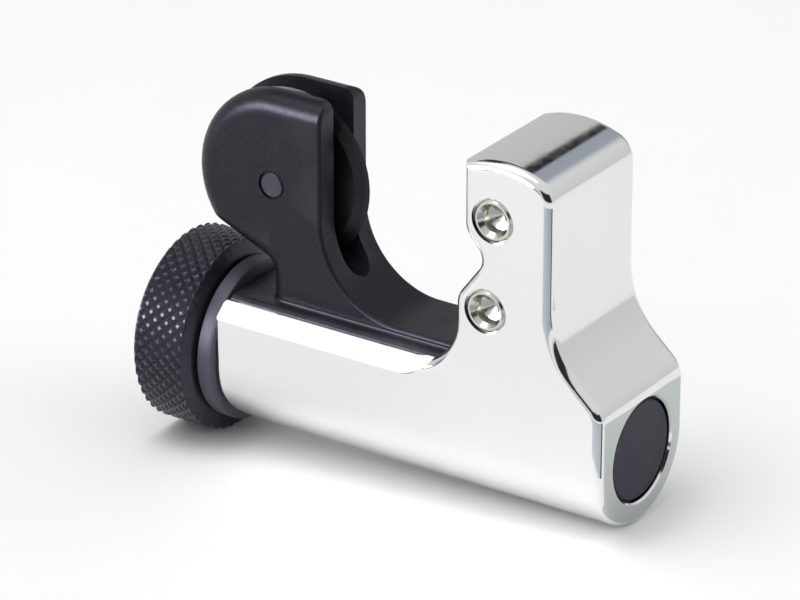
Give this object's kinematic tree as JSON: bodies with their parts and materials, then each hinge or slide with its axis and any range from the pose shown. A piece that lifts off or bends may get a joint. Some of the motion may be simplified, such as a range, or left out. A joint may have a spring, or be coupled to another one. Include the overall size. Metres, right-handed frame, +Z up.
{
  "type": "tube cutter",
  "caption": "Compact tube cutter: chromed body with a two-roller jaw, black sliding carrier with a cutting wheel, and a knurled feed knob.",
  "frame": {"origin": "middle of the tool's underside: centre of the overall box in X and Y, at the lowest point of the knob rim", "axes": "+X along the feed screw from the knob to the plugged end, +Y across the tool along the roller axes, +Z up from the barrel to the wheel and rollers"},
  "size_m": [0.0576, 0.0216, 0.0426],
  "materials": {
    "chrome_casting": "polished chrome plate over die-cast zinc",
    "black_casting": "semi-matte black coating over die-cast zinc",
    "black_knob": "black finish, knurled rim, satin",
    "black_plastic": "matte moulded plastic",
    "roller_steel": "ground hardened steel",
    "pin_steel": "bright turned steel",
    "wheel_steel": "dark hardened tool steel with ground edge",
    "black_pin": "blackened steel",
    "screw_steel": "oiled steel",
    "zinc_steel": "zinc plated",
    "bronze": "bearing bronze"
  },
  "bodies": {
    "body": {"frame": "chrome_casting", "end_plug": "black_plastic", "upper_roller_pin": "pin_steel", "lower_roller_pin": "pin_steel", "screw_bush": "bronze"},
    "carrier": {"slide": "black_casting", "feed_nut": "bronze", "wheel_pin": "black_pin"},
    "feed": {"knob": "black_knob", "feed_screw": "screw_steel", "knob_washer": "zinc_steel", "knob_screw": "zinc_steel", "thrust_washer": "zinc_steel", "spring_washer": "screw_steel", "inner_washer": "zinc_steel", "retaining_clip": "screw_steel"},
    "wheel": {"cutter_wheel": "wheel_steel"},
    "roller_up": {"upper_roller": "roller_steel"},
    "roller_low": {"lower_roller": "roller_steel"}
  },
  "joints": [
    {"name": "carrier_slide", "type": "slide", "parent": "body", "child": "carrier", "axis": [1, 0, 0], "range_m": [0, 0.0176]},
    {"name": "knob_turn", "type": "hinge", "parent": "body", "child": "feed", "pos_m": [-0.01935, 0, 0.0108], "axis": [1, 0, 0], "range_deg": [0, 4224.1]},
    {"name": "wheel_spin", "type": "hinge", "parent": "carrier", "child": "wheel", "pos_m": [-0.01455, 0, 0.0315], "axis": [0, 1, 0], "continuous": true},
    {"name": "upper_roller_spin", "type": "hinge", "parent": "body", "child": "roller_up", "pos_m": [0.01545, 0, 0.0362], "axis": [0, 1, 0], "continuous": true},
    {"name": "lower_roller_spin", "type": "hinge", "parent": "body", "child": "roller_low", "pos_m": [0.01465, 0, 0.026], "axis": [0, 1, 0], "continuous": true}
  ],
  "couplings": [
    {"joint": "knob_turn", "follows": "carrier_slide", "rad_per_m": 4188.8}
  ]
}
